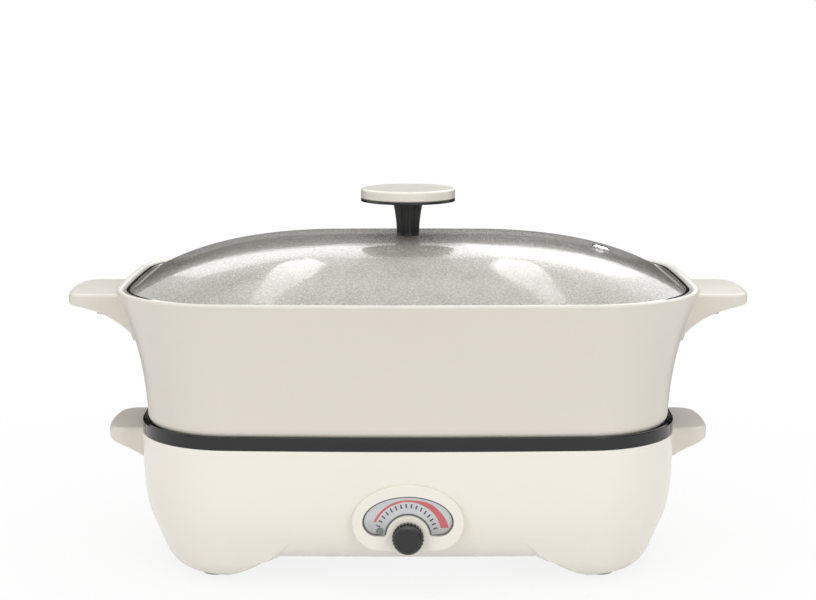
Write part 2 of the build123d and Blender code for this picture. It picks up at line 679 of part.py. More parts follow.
def pot_outer(grow=0.0):
    """Filled outer form of the pot, down to its rounded bottom edge."""
    straight = pot_height - pot_bottom_radius
    start = pot_inset(rim_edge) - grow
    rim = [outline(pot_plan, rim_z - rim_edge * (1 - sine), start + rim_edge * (1 - cosine))
           for cosine, sine in reversed(quarter_turns())]
    levels = [rim_edge + (straight - rim_edge) * step / wall_steps for step in range(wall_steps + 1)]
    wall = [outline(pot_plan, rim_z - depth, pot_inset(depth) - grow) for depth in levels]
    end = pot_inset(straight) - grow
    bottom = [outline(pot_plan, rim_z - straight - pot_bottom_radius * sine,
                      end + pot_bottom_radius * (1 - cosine))
              for cosine, sine in quarter_turns()]
    return stacked(rim, wall, bottom)


pot_filled = pot_outer()


def pot_handle():
    """Cream right-hand handle with a flange that follows the pot's flared wall."""
    top = rim_z - pot_handle_drop
    low = rim_z - pot_handle_root_drop
    root_x = pot_plan.half_x - pot_inset(pot_handle_root_drop)
    grip = wing(pot_handle_tip, pot_handle_half_width, top, pot_handle_thickness, root_x, low,
                pot_handle_sag)
    grip &= block((0, -pot_handle_half_width, low), (pot_handle_tip, pot_handle_half_width, top))
    half = pot_handle_half_width + pot_flange_extra
    patch = block((root_x - 12, -half, low), (pot_plan.half_x + 6, half, top + 1.0))
    patch = fillet(patch.edges().filter_by(Axis.X), 3.0)
    flange = patch & pot_outer(pot_flange_thickness)
    shape = (grip + flange) - pot_filled
    for y in (-pot_handle_screw_y, pot_handle_screw_y):
        shape -= rod(pot_handle_screw_x, y, pot_screw_seat, pot_screw_tip, screw_radius)
        shape -= rod(pot_handle_screw_x, y, low - 5, pot_screw_seat, screw_head_radius)
    return max(shape.solids(), key=lambda solid: solid.volume)


pot_handle_screw_x = pot_plan.half_x + 14.0
pot_handle_screw_y = 24.0
pot_screw_seat = rim_z - pot_handle_drop - pot_handle_thickness - 4.6
pot_screw_tip = rim_z - pot_handle_drop - 3.0


def base_handle():
    """Cream right-hand handle screwed to the housing from inside."""
    top = housing_height - base_handle_drop
    low = top - base_handle_root_drop
    grip = wing(base_handle_tip, base_handle_half_width, top, base_handle_thickness,
                base_plan.half_x, low, base_handle_sag)
    shape = grip - housing_filled
    shape = max(shape.solids(), key=lambda solid: solid.center().X)
    for y in (-handle_screw_y, handle_screw_y):
        shape -= bar_x(y, handle_screw_z, base_plan.half_x - 8, base_plan.half_x + 10, screw_radius)
    return shape


def base_handle_screws():
    """Four screws from inside the housing into the two handles."""
    screws = []
    inner = base_plan.half_x - housing_wall - 0.3
    for y in (-handle_screw_y, handle_screw_y):
        shape = bar_x(y, handle_screw_z, inner - screw_head_height, inner, screw_head_radius)
        shape += bar_x(y, handle_screw_z, inner, inner + 12, screw_radius)
        screws += [shape, mirror(shape, Plane.YZ)]
    return screws


# ---------------------------------------------------------------- pot
def pot_body():
    """Cast pot: flared wall, rounded rim, a ledge for the lid and a flat floor."""
    shape = pot_filled
    ledge_inset = rim_wall + lid_ledge
    inner_bottom = pot_taper + pot_wall
    depth = pot_height - pot_floor - lid_step - pot_inside_radius
    shape -= prism(pot_plan, ledge_z, rim_z + 1, rim_wall)
    wall = []
    for step in range(wall_steps + 1):
        share = step / wall_steps
        draw = ledge_inset + (inner_bottom - ledge_inset) * (1 - (1 - share) ** pot_taper_power)
        wall.append(outline(pot_plan, ledge_z - depth * share, draw))
    bottom = [outline(pot_plan, ledge_z - depth - pot_inside_radius * sine,
                      inner_bottom + pot_inside_radius * (1 - cosine))
              for cosine, sine in quarter_turns()]
    shape -= stacked(wall, bottom)
    for x, y in corners(heater_screw_x, heater_screw_y):
        shape -= rod(x, y, seat_z - 1, seat_z + pot_floor - 1.0, screw_radius)
    mouth = [outline(pot_plan, rim_z + rise, rim_wall - draw)
             for rise, draw in ((-rim_edge, 0.0), (-rim_edge * 0.3, rim_edge * 0.3), (0.01, rim_edge))]
    return shape - Solid.make_loft(mouth, ruled=True)


def element_path():
    """Centre line of the heating element: a loop open at the coupler."""
    z = heater_z + heater_thickness / 2
    x, y = element_half_x, element_half_y
    points = [(pin_pitch, pin_y, z), (pin_pitch, y - 24, z), (x, y - 24, z), (x, -y, z),
              (-x, -y, z), (-x, y - 24, z), (-pin_pitch, y - 24, z), (-pin_pitch, pin_y, z)]
    radii = [element_bend, element_bend, element_corner, element_corner, element_bend, element_bend]
    return FilletPolyline(*points, radius=radii)


def element_tube(radius):
    """Round tube along the element's centre line."""
    path = element_path()
    section = Plane(origin=path @ 0, z_dir=path % 0) * Circle(radius)
    return sweep(section, path=path)


def heating_plate():
    """Shallow cast plate under the pot that clamps the element."""
    shape = prism(heater_plan, heater_z, seat_z)
    shape = fillet(shape.edges().group_by(Axis.Z)[0], 1.6)
    shape -= element_tube(element_radius)
    for x, y in corners(heater_screw_x, heater_screw_y):
        shape -= rod(x, y, heater_z - 1, seat_z + 1, screw_radius)
    for x in (-pin_pitch, pin_pitch):
        shape -= rod(x, pin_y, heater_z - 1, seat_z + 1, insulator_radius)
    return shape - rod(0, pin_y, heater_z - 1, seat_z + 1, pin_radius)


insulator_radius, insulator_drop = 5.0, 3.0


def pin_insulators():
    """Ceramic collars around the live and neutral pins."""
    collars = []
    for x in (-pin_pitch, pin_pitch):
        shape = rod(x, pin_y, heater_z - insulator_drop, seat_z, insulator_radius)
        shape -= rod(x, pin_y, heater_z - 5, seat_z + 1, pin_radius)
        collars.append(shape - element_tube(element_radius))
    return collars


def coupler_pin(x, reach):
    """Round pin with a domed tip, hanging from the heating plate."""
    tip = seat_z - reach
    shape = rod(x, pin_y, tip, seat_z, pin_radius)
    shape = fillet(shape.edges().group_by(Axis.Z)[0], pin_radius - 0.3)
    return shape if x == 0 else shape - element_tube(element_radius)


def pot_legs():
    """Four tapered locating legs, each with a small collar against the pot."""
    legs = []
    for x, y in corners(post_x, post_y):
        shape = rod(x, y, seat_z - pot_leg_reach, seat_z - 2, pot_leg_tip, pot_leg_root)
        shape = fillet(shape.edges().group_by(Axis.Z)[0], 0.8)
        legs.append(shape + rod(x, y, seat_z - 2, seat_z, pot_leg_root + 1.5))
    return legs


def pot_handle_screws():
    """Screws up into the pot handles from underneath."""
    return [screw_down(x, y, pot_screw_seat, pot_screw_tip - pot_screw_seat, tip_z_sign=1)
            for x, y in corners(pot_handle_screw_x, pot_handle_screw_y)]


# ---------------------------------------------------------------- lid
def dome_height(share):
    """Height of the dome above its edge, at a share of the way out from the middle."""
    return dome_rise * (1 - share ** dome_power)


def dome(low, plan_inset, drop):
    """Filled dome standing on its own edge."""
    plan = Plan(lid_plan.half_x - plan_inset, lid_plan.half_y - plan_inset, lid_plan.corner - plan_inset)
    shares = (1.0, 0.93, 0.84, 0.72, 0.57, 0.4, 0.24, 0.12)
    sections = [outline(plan, dome_z + dome_height(share) - drop, scale=share) for share in shares]
    return prism(plan, low, dome_z - drop) + Solid.make_loft(sections)


def lid_glass():
    """Domed glass with a straight edge that sits in the steel rim."""
    edge = band_wall + 0.1
    low = ledge_z + band_wall
    shape = dome(low, edge, 0.0) - dome(low - 5, edge + glass_thickness, glass_thickness * 0.9)
    shape -= rod(0, 0, ledge_z, apex_z + 5, lid_screw_radius + 0.5)
    return shape - vent_tube(vent_radius + 0.05, 30.0)


def lid_rim():
    """Rolled steel rim with a groove for the glass."""
    shape = ring(lid_plan, ledge_z, band_top, 0.0, band_grip)
    return shape - ring(lid_plan, ledge_z + band_wall, band_top - band_wall, band_wall, band_grip + 1)


def vent_frame():
    """Plane of the steam vent: on the dome, square to its slope."""
    share = vent_x / (lid_plan.half_x - band_wall)
    slope = dome_rise * dome_power * share ** (dome_power - 1) / lid_plan.half_x
    origin = (vent_x, 0, dome_z + dome_height(share))
    return Plane(origin=origin, z_dir=(slope, 0, 1))


def vent_tube(radius, length):
    """Round bar through the dome along the vent's axis."""
    return vent_frame() * (Pos(0, 0, -length / 2) * extrude(Circle(radius), length))


def steam_vent():
    """Steel eyelet clenched over both faces of the glass."""
    frame = vent_frame()
    flange = vent_radius + vent_flange
    upper = frame * (Pos(0, 0, 0.45) * extrude(Circle(flange), 0.9))
    upper = upper + frame * (Pos(0, 0, 1.35) * Solid.make_cone(flange - 0.6, vent_bore_radius + 0.8, 0.7))
    tube = frame * (Pos(0, 0, -glass_thickness - 1) * extrude(Circle(vent_radius), glass_thickness + 2))
    lower = frame * (Pos(0, 0, -glass_thickness - 1.4) * extrude(Circle(flange), 0.9))
    return upper + tube + lower - vent_tube(vent_bore_radius, 40.0)


def knob_stem():
    """Fluted black stem, waisted above the glass and flared under the cap."""
    low, high = apex_z, apex_z + stem_height
    waist = low + stem_height * 0.55
    side = Spline((stem_low_radius, low), (stem_mid_radius, waist), (stem_top_radius, high))
    rest = Polyline((stem_top_radius, high), (0, high), (0, low), (stem_low_radius, low))
    shape = revolve(Plane.XZ * make_face(side + rest), Axis.Z)
    for index in range(stem_flutes):
        angle = 2 * math.pi * index / stem_flutes
        lean = math.atan((stem_top_radius - stem_low_radius) / stem_height)
        foot = Vector(math.cos(angle), math.sin(angle), 0) * stem_low_radius
        direction = (math.cos(angle) * math.sin(lean), math.sin(angle) * math.sin(lean), math.cos(lean))
        groove = Plane(origin=(foot.X, foot.Y, low + 2.0), z_dir=direction)
        shape -= groove * extrude(Circle(stem_flute_radius), stem_height)
    return shape - rod(0, 0, low, low + lid_screw_bite, lid_screw_radius)


def knob_disc():
    """Thin black disc between stem and cap."""
    low = apex_z + stem_height
    return rod(0, 0, low, low + disc_height, cap_radius)


def knob_cap():
    """Cream cap with a chamfered lower edge and a softly rounded top."""
    low = apex_z + stem_height + disc_height
    shape = rod(0, 0, low, low + cap_height, cap_radius)
    shape = chamfer(shape.edges().group_by(Axis.Z)[0], 0.8)
    return fillet(shape.edges().group_by(Axis.Z)[-1], cap_edge)


glass_flat_drop = 0.15
dome_underside = apex_z - glass_thickness * 0.9 - glass_flat_drop


def knob_seal():
    """Silicone washer under the glass."""
    shape = rod(0, 0, dome_underside - lid_seal_height, dome_underside, lid_seal_radius)
    return shape - rod(0, 0, dome_underside - 5, dome_underside + 1, lid_screw_radius)


def knob_washer():
    """Steel washer under the seal."""
    top = dome_underside - lid_seal_height
    shape = rod(0, 0, top - lid_washer_height, top, lid_washer_radius)
    return shape - rod(0, 0, top - 5, top + 1, lid_screw_radius)


def knob_screw():
    """Screw from under the lid into the stem."""
    seat = dome_underside - lid_seal_height - lid_washer_height
    head = rod(0, 0, seat - 3.0, seat, lid_screw_head_radius)
    head = fillet(head.edges().group_by(Axis.Z)[0], 1.2)
    return head + rod(0, 0, seat, apex_z + lid_screw_bite, lid_screw_radius)


# ---------------------------------------------------------------- power inlet and wiring
inlet_front = base_plan.half_y - inlet_depth


def power_inlet():
    """Black inlet at the back with a recess for the mains connector."""
    back = base_plan.half_y + 1.5
    shape = block((-inlet_half_x + 0.2, inlet_front, inlet_z - inlet_half_z + 0.2),
                  (inlet_half_x - 0.2, back, inlet_z + inlet_half_z - 0.2))
    flange_x, flange_z = inlet_half_x + inlet_flange, inlet_half_z + inlet_flange
    flange = block((-flange_x, base_plan.half_y - 0.6, inlet_z - flange_z),
                   (flange_x, back, inlet_z + flange_z))
    shape += flange - housing_filled
    recess_x, recess_z = inlet_half_x - inlet_wall, inlet_half_z - inlet_wall
    shape -= block((-recess_x, inlet_front + inlet_wall, inlet_z - recess_z),
                   (recess_x, back + 1, inlet_z + recess_z))
    for x in inlet_pin_places():
        shape -= bar_y(x, inlet_z, inlet_front - 1, inlet_front + 5, inlet_pin_radius)
    return shape


def inlet_pin_places():
    """Live, earth and neutral across the inlet."""
    return (-inlet_pin_pitch, 0, inlet_pin_pitch)


def inlet_pins():
    """Three round pins that run through the back of the recess."""
    tail, start = 5.0, inlet_front + inlet_wall
    pins = []
    for x in inlet_pin_places():
        pin = bar_y(x, inlet_z, inlet_front - tail, start + inlet_pin_length, inlet_pin_radius)
        pins.append(fillet(pin.edges().group_by(Axis.Y)[-1], 1.0))
    return pins


def wire(*points):
    """Insulated wire along straight runs with round bends."""
    path = FilletPolyline(*points, radius=wire_bend)
    section = Plane(origin=path @ 0, z_dir=path % 0) * Circle(wire_radius)
    return sweep(section, path=path)


tab_z = block_low - contact_tab
inlet_tail_y = inlet_front - 5.0
fuse_x, fuse_y, fuse_half_length, fuse_half_width = -61.0, 36.0, 10.0, 3.0
wire_drop_y, wire_front_y = 60.0, -50.0


def thermal_fuse():
    """Fuse in the live wire, strapped to the underside of the tray floor."""
    body = block((fuse_x - fuse_half_width, fuse_y - fuse_half_length, inlet_z - fuse_half_width),
                 (fuse_x + fuse_half_width, fuse_y + fuse_half_length, inlet_z + fuse_half_width))
    strap = block((fuse_x - 5, fuse_y - 4, inlet_z), (fuse_x + 5, fuse_y + 4, floor_z - tray_wall))
    return body + strap


def wire_live_in():
    """Live wire from the inlet to the thermal fuse."""
    x = -inlet_pin_pitch
    return wire((x, inlet_tail_y, inlet_z), (x, wire_drop_y, inlet_z), (fuse_x, wire_drop_y, inlet_z),
                (fuse_x, fuse_y + fuse_half_length, inlet_z))


def wire_live_fused():
    """Live wire from the fuse to the thermostat."""
    return wire((fuse_x, fuse_y - fuse_half_length, inlet_z), (fuse_x, wire_front_y, inlet_z),
                (-terminal_x, wire_front_y, inlet_z), (-terminal_x, wire_front_y, dial_z),
                (-terminal_x, thermostat_back, dial_z))


def wire_live_switched():
    """Live wire from the thermostat to the live contact."""
    y = wire_front_y + 12.0
    return wire((terminal_x, thermostat_back, dial_z), (terminal_x, y, dial_z), (-pin_pitch, y, dial_z),
                (-pin_pitch, pin_y, dial_z), (-pin_pitch, pin_y, tab_z))


def wire_neutral():
    """Neutral wire from the inlet to the neutral contact."""
    x, low = inlet_pin_pitch, tab_z - 16.0
    return wire((x, inlet_tail_y, inlet_z), (x, wire_drop_y, inlet_z), (x, wire_drop_y, low),
                (pin_pitch, pin_y, low), (pin_pitch, pin_y, tab_z))


def wire_earth():
    """Earth wire from the inlet to the earth contact."""
    low = tab_z - 20.0
    return wire((0, inlet_tail_y, inlet_z), (0, wire_drop_y, inlet_z), (0, wire_drop_y, low),
                (0, pin_y, low), (0, pin_y, tab_z))


# ---------------------------------------------------------------- screws
def tray_screws():
    """Four screws from the tray's bosses into the housing columns."""
    return [screw_down(x, y, floor_z + tray_boss_rise, tray_screw_length)
            for x, y in corners(tray_screw_x, tray_screw_y)]


def connector_screws():
    """Two screws through the connector's ears."""
    seat = floor_z + ear_height - ear_screw_sink
    return [screw_down(x, ear_y, seat, connector_screw_length) for x in (-ear_x, ear_x)]


def bottom_plate_screws():
    """Four screws up through the bottom plate."""
    return [screw_down(x, y, belly_height - plate_thickness, plate_boss_height, tip_z_sign=1)
            for x, y in corners(plate_screw_x, plate_screw_y)]


def heater_screws():
    """Four screws up through the heating plate into the pot floor."""
    return [screw_down(x, y, heater_z, heater_thickness + pot_floor - 1.0, tip_z_sign=1)
            for x, y in corners(heater_screw_x, heater_screw_y)]


groups = {
    "base_housing": housing,
    "bottom_plate": bottom_plate,
    "upper_tray": upper_tray,
    "connector_block": connector_block,
    "thermostat_body": thermostat_body,
    "thermostat_bracket": thermostat_bracket,
    "thermostat_shaft": thermostat_shaft,
    "dial_knob": dial_knob,
    "dial_bezel": dial_bezel,
    "dial_plate": dial_plate,
    "dial_lens": dial_lens,
    "pilot_lamp": pilot_lamp,
    "thermal_fuse": thermal_fuse,
    "power_inlet": power_inlet,
    "inlet_pins": inlet_pins,
    "base_handle_screws": base_handle_screws,
    "tray_screws": tray_screws,
    "connector_screws": connector_screws,
    "bottom_plate_screws": bottom_plate_screws,
    "heater_screws": heater_screws,
    "wire_live_in": wire_live_in,
    "wire_live_fused": wire_live_fused,
    "wire_live_switched": wire_live_switched,
    "wire_neutral": wire_neutral,
    "wire_earth": wire_earth,
    "pot_body": pot_body,
    "heating_plate": heating_plate,
    "heating_element": lambda: element_tube(element_radius),
    "pin_insulators": pin_insulators,
    "pot_legs": pot_legs,
    "pot_handle_screws": pot_handle_screws,
    "lid_glass": lid_glass,
    "lid_rim": lid_rim,
    "lid_steam_vent": steam_vent,
    "lid_knob_stem": knob_stem,
    "lid_knob_disc": knob_disc,
    "lid_knob_cap": knob_cap,
    "lid_knob_seal": knob_seal,
    "lid_knob_washer": knob_washer,
    "lid_knob_screw": knob_screw,
}
for name, make in groups.items():
    save(make(), name)
for name, make in (("pot_handle", pot_handle), ("base_handle", base_handle)):
    right_side = make()
    save(right_side, f"{name}_right")
    save(mirror(right_side, Plane.YZ), f"{name}_left")
for name, side in (("left", -1), ("right", 1)):
    save(socket_plate(side), f"socket_plate_{name}")
for name, x_side, y_side in (("front_left", -1, -1), ("front_right", 1, -1),
                             ("rear_left", -1, 1), ("rear_right", 1, 1)):
    save(rubber_foot(x_side * leg_x, y_side * leg_y), f"rubber_foot_{name}")
    save(post(x_side * post_x, y_side * post_y), f"tray_post_{name}")
for name, x, reach in (("live", -pin_pitch, power_pin_reach), ("earth", 0, earth_pin_reach),
                       ("neutral", pin_pitch, power_pin_reach)):
    save(contact(x, seat_z - reach), f"contact_{name}")
    save(coupler_pin(x, reach), f"pot_pin_{name}")
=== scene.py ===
import bpy
import json
import math
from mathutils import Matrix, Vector


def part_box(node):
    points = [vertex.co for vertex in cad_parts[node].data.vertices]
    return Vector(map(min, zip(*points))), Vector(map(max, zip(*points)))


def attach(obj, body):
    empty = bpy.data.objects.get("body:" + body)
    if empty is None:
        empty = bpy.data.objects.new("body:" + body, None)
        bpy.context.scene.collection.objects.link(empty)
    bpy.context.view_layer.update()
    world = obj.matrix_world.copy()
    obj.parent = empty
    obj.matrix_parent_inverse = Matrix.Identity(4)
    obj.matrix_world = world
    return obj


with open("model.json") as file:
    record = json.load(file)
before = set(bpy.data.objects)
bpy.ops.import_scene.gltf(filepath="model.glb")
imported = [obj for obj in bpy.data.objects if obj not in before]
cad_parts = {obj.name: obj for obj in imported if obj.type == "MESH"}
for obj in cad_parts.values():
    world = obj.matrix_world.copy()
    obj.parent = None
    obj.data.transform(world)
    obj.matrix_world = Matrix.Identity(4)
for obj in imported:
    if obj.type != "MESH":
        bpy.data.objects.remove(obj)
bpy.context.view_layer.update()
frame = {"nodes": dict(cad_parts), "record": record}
nodes = frame["nodes"]
scene = bpy.context.scene

# Places are in metres, and a number times MM is in millimetres. The dial is on the -Y side,
# and the camera looks along +Y.
MM = 0.001


def add_object(name, data):
    """New object in the scene."""
    item = bpy.data.objects.new(name, data)
    scene.collection.objects.link(item)
    return item


def add_piece(name, points, faces, material):
    """New mesh object in the scene, with one material."""
    mesh = bpy.data.meshes.new(name)
    mesh.from_pydata(points, [], faces)
    mesh.materials.append(material)
    return add_object(name, mesh)


# ---------------------------------------------------------------- camera
# Solved from the photograph. The tilt is in degrees below level.
IMAGE_WIDTH = 816
FOCAL_PIXELS = 1655.0
SENSOR_WIDTH = 36.0
CAMERA_PLACE = (0.0, -1.141, 0.3636)
CAMERA_TILT = 9.333

camera_data = bpy.data.cameras.new("camera")
camera_data.sensor_width = SENSOR_WIDTH
camera_data.lens = FOCAL_PIXELS / IMAGE_WIDTH * SENSOR_WIDTH
camera = add_object("camera", camera_data)
camera.location = CAMERA_PLACE
camera.rotation_euler = (math.radians(90 - CAMERA_TILT), 0, 0)
scene.camera = camera
scene.view_settings.view_transform = "Standard"


# ---------------------------------------------------------------- node helpers
# Sockets of a Mix node that mixes colours. Their names are the same for each kind of data.
MIX_FACTOR, MIX_FIRST, MIX_SECOND, MIX_RESULT = 0, 6, 7, 2
# Nearly all values of a noise lie between these two.
NOISE_RANGE = (0.3, 0.7)


def empty_tree(owner):
    """Node tree of a new material or world, with nothing in it."""
    owner.use_nodes = True
    owner.node_tree.nodes.clear()
    return owner.node_tree


def set_inputs(node, values):
    for name, value in values.items():
        node.inputs[name].default_value = value


def set_surface(tree, shader, output_type="ShaderNodeOutputMaterial"):
    """Link a shader to a new output node."""
    tree.links.new(shader, tree.nodes.new(output_type).inputs["Surface"])


def new_material(name):
    """A material with one Principled shader."""
    material = bpy.data.materials.new(name)
    tree = empty_tree(material)
    shader = tree.nodes.new("ShaderNodeBsdfPrincipled")
    set_surface(tree, shader.outputs["BSDF"])
    return material, tree, shader


def object_coordinates(tree):
    return tree.nodes.new("ShaderNodeTexCoord").outputs["Object"]


def noise(tree, scale, detail=2.0, roughness=0.5, vector=None):
    """Noise value at a number of cells in a metre."""
    node = tree.nodes.new("ShaderNodeTexNoise")
    set_inputs(node, {"Scale": scale, "Detail": detail, "Roughness": roughness})
    tree.links.new(vector or object_coordinates(tree), node.inputs["Vector"])
    return node.outputs["Fac"]


def map_range(tree, value, low, high, new_low, new_high):
    node = tree.nodes.new("ShaderNodeMapRange")
    set_inputs(node, {"From Min": low, "From Max": high, "To Min": new_low, "To Max": new_high})
    tree.links.new(value, node.inputs["Value"])
    return node.outputs["Result"]


def two_values(tree, operation, first, second):
    """Result of a Math node on two values."""
    node = tree.nodes.new("ShaderNodeMath")
    node.operation = operation
    tree.links.new(first, node.inputs[0])
    tree.links.new(second, node.inputs[1])
    return node.outputs[0]


def mix_colours(tree, factor, first, second):
    node = tree.nodes.new("ShaderNodeMix")
    node.data_type = "RGBA"
    set_inputs(node, {MIX_FIRST: (*first, 1.0), MIX_SECOND: (*second, 1.0)})
    tree.links.new(factor, node.inputs[MIX_FACTOR])
    return node.outputs[MIX_RESULT]


def mix_shaders(tree, share, first, second):
    """The first shader where the share is nothing, and the second where it is one."""
    node = tree.nodes.new("ShaderNodeMixShader")
    for number, value in enumerate((share, first, second)):
        tree.links.new(value, node.inputs[number])
    return node.outputs["Shader"]


def bump(tree, shader, height, strength, distance):
    node = tree.nodes.new("ShaderNodeBump")
    set_inputs(node, {"Strength": strength, "Distance": distance})
    tree.links.new(height, node.inputs["Height"])
    tree.links.new(node.outputs["Normal"], shader.inputs["Normal"])


def tinted(colour, amount):
    return tuple(channel * amount for channel in colour)


def spread(value, shares):
    """A value times the least and the largest share."""
    return [value * share for share in shares]


# ---------------------------------------------------------------- kinds of material
# Moulded surfaces: broad clouds in colour and gloss, and the fine grain of the mould.
CLOUD_DETAIL = 3.0
COLOUR_CLOUDS, GLOSS_CLOUDS = 14.0, 45.0
GLOSS_SHARES = (0.96, 1.05)
GRAIN_DEPTH = 0.1 * MM
CLEAR_COAT_ROUGHNESS = 0.06


def moulded(name, colour, roughness, grain=700.0, grain_strength=0.05, mottle=0.008, coat=0.0):
    """Moulded or coated surface: faint cloudiness, uneven gloss and a fine moulding grain."""
    material, tree, shader = new_material(name)
    cloud = noise(tree, COLOUR_CLOUDS, CLOUD_DETAIL)
    tree.links.new(mix_colours(tree, map_range(tree, cloud, *NOISE_RANGE, 0.0, 1.0),
                               tinted(colour, 1.0 - mottle), tinted(colour, 1.0 + mottle)),
                   shader.inputs["Base Color"])
    gloss = noise(tree, GLOSS_CLOUDS, CLOUD_DETAIL)
    tree.links.new(map_range(tree, gloss, *NOISE_RANGE, *spread(roughness, GLOSS_SHARES)),
                   shader.inputs["Roughness"])
    bump(tree, shader, noise(tree, grain), grain_strength, GRAIN_DEPTH)
    set_inputs(shader, {"Coat Weight": coat, "Coat Roughness": CLEAR_COAT_ROUGHNESS})
    return material


# Metals: brush lines are a noise drawn out along one axis.
BRUSH_SCALE, BRUSH_STRETCH = 2500.0, 0.03
BRUSH_TINTS, BRUSH_SHARES = (0.94, 1.05), (0.8, 1.25)
FINE_DEPTH = 0.02 * MM


def metal(name, colour, roughness, brush_axis=None, strength=0.15):
    """Metal with fine brush lines along one axis, or an even polish."""
    material, tree, shader = new_material(name)
    shader.inputs["Metallic"].default_value = 1.0
    vector = object_coordinates(tree)
    if brush_axis is not None:
        mapping = tree.nodes.new("ShaderNodeMapping")
        stretch = [1.0, 1.0, 1.0]
        stretch[brush_axis] = BRUSH_STRETCH
        mapping.inputs["Scale"].default_value = stretch
        tree.links.new(vector, mapping.inputs["Vector"])
        vector = mapping.outputs["Vector"]
    lines = noise(tree, BRUSH_SCALE, vector=vector)
    dark, pale = (tinted(colour, amount) for amount in BRUSH_TINTS)
    tree.links.new(mix_colours(tree, lines, dark, pale), shader.inputs["Base Color"])
    tree.links.new(map_range(tree, lines, *NOISE_RANGE, *spread(roughness, BRUSH_SHARES)),
                   shader.inputs["Roughness"])
    bump(tree, shader, lines, strength, FINE_DEPTH)
    return material


# Lid glass: fine pebbles, and larger patches that shift their tone a little.
PEBBLE_SCALE, PEBBLE_ROUGHNESS = 800.0, 0.6
PEBBLE_STRENGTH, PEBBLE_DEPTH = 0.25, 0.2 * MM
PATCH_SCALE, PATCH_SHIFT = 60.0, 0.04
PEBBLE_TONES = ((0.41, 0.395, 0.35), (0.56, 0.54, 0.485))
TONE_RANGE, ALPHA_RANGE = (0.38, 0.62), (0.35, 0.65)
GLASS_ALPHA, GLASS_ROUGHNESS = (0.62, 0.70), (0.18, 0.34)
GLASS_FACE = {"IOR": 1.5, "Coat Weight": 0.7, "Coat Roughness": 0.04}


def textured_glass():
    """Lid glass: clear outside face over a fine pebbled, cream-tinted body."""
    material, tree, shader = new_material("lid_glass")
    grain = noise(tree, PEBBLE_SCALE, roughness=PEBBLE_ROUGHNESS)
    cloud = noise(tree, PATCH_SCALE, CLOUD_DETAIL)
    patches = map_range(tree, cloud, *NOISE_RANGE, -PATCH_SHIFT, PATCH_SHIFT)
    pebbles = two_values(tree, "ADD", grain, patches)
    tone = map_range(tree, pebbles, *TONE_RANGE, 0.0, 1.0)
    tree.links.new(mix_colours(tree, tone, *PEBBLE_TONES), shader.inputs["Base Color"])
    tree.links.new(map_range(tree, grain, *NOISE_RANGE, *GLASS_ROUGHNESS),
                   shader.inputs["Roughness"])
    tree.links.new(map_range(tree, pebbles, *ALPHA_RANGE, *GLASS_ALPHA), shader.inputs["Alpha"])
    bump(tree, shader, pebbles, PEBBLE_STRENGTH, PEBBLE_DEPTH)
    set_inputs(shader, GLASS_FACE)
    return material


# Dial cover: thin clear plastic with slow waves. The two alphas are face on and at a slant.
LENS_COLOUR, LENS_ROUGHNESS, LENS_ALPHA = (0.9, 0.92, 0.92), 0.04, (0.03, 0.35)
LENS_BLEND = 0.25
WAVE_SCALE, WAVE_STRENGTH, WAVE_DEPTH = 25.0, 0.03, 0.3 * MM


def clear_lens():
    """Thin clear plastic: nearly invisible face on, glossier at a slant."""
    material, tree, shader = new_material("clear_lens")
    set_inputs(shader, {"Base Color": (*LENS_COLOUR, 1.0), "Roughness": LENS_ROUGHNESS})
    weight = tree.nodes.new("ShaderNodeLayerWeight")
    weight.inputs["Blend"].default_value = LENS_BLEND
    bump(tree, shader, noise(tree, WAVE_SCALE, detail=1.0), WAVE_STRENGTH, WAVE_DEPTH)
    tree.links.new(map_range(tree, weight.outputs["Fresnel"], 0.0, 1.0, *LENS_ALPHA),
                   shader.inputs["Alpha"])
    return material


# Scale plate: its tone changes between two heights above the table.
PLATE_FADE = (39 * MM, 52 * MM)
PLATE_TONES = ((0.40, 0.39, 0.395), (0.64, 0.65, 0.665))
PLATE_METALLIC = 0.1
SATIN_SCALE, SATIN_ROUGHNESS, SATIN_STRENGTH = 1800.0, (0.32, 0.42), 0.05


def dial_silver():
    """Satin plate, darker towards the bottom."""
    material, tree, shader = new_material("dial_silver")
    split = tree.nodes.new("ShaderNodeSeparateXYZ")
    tree.links.new(object_coordinates(tree), split.inputs["Vector"])
    ramp = map_range(tree, split.outputs["Z"], *PLATE_FADE, 0.0, 1.0)
    tree.links.new(mix_colours(tree, ramp, *PLATE_TONES), shader.inputs["Base Color"])
    shader.inputs["Metallic"].default_value = PLATE_METALLIC
    fine = noise(tree, SATIN_SCALE)
    tree.links.new(map_range(tree, fine, *NOISE_RANGE, *SATIN_ROUGHNESS),
                   shader.inputs["Roughness"])
    bump(tree, shader, fine, SATIN_STRENGTH, FINE_DEPTH)
    return material


CREAM = (0.845, 0.81, 0.73)
POT_CREAM = (0.71, 0.67, 0.60)
# Inward faces of the pot: the inner coat's greyer tone, made paler as painted light for the shaded
# inside.
INNER_COAT_AND_PAINTED_LIGHT = (0.83, 0.81, 0.76)
# A point's level place times its face's normal is above nothing where the face looks
# outwards. The inner tone, greyer as the inner coat is and paler as painted light, changes
# within this much of nothing.
INNER_TONE_CHANGE = 10 * MM


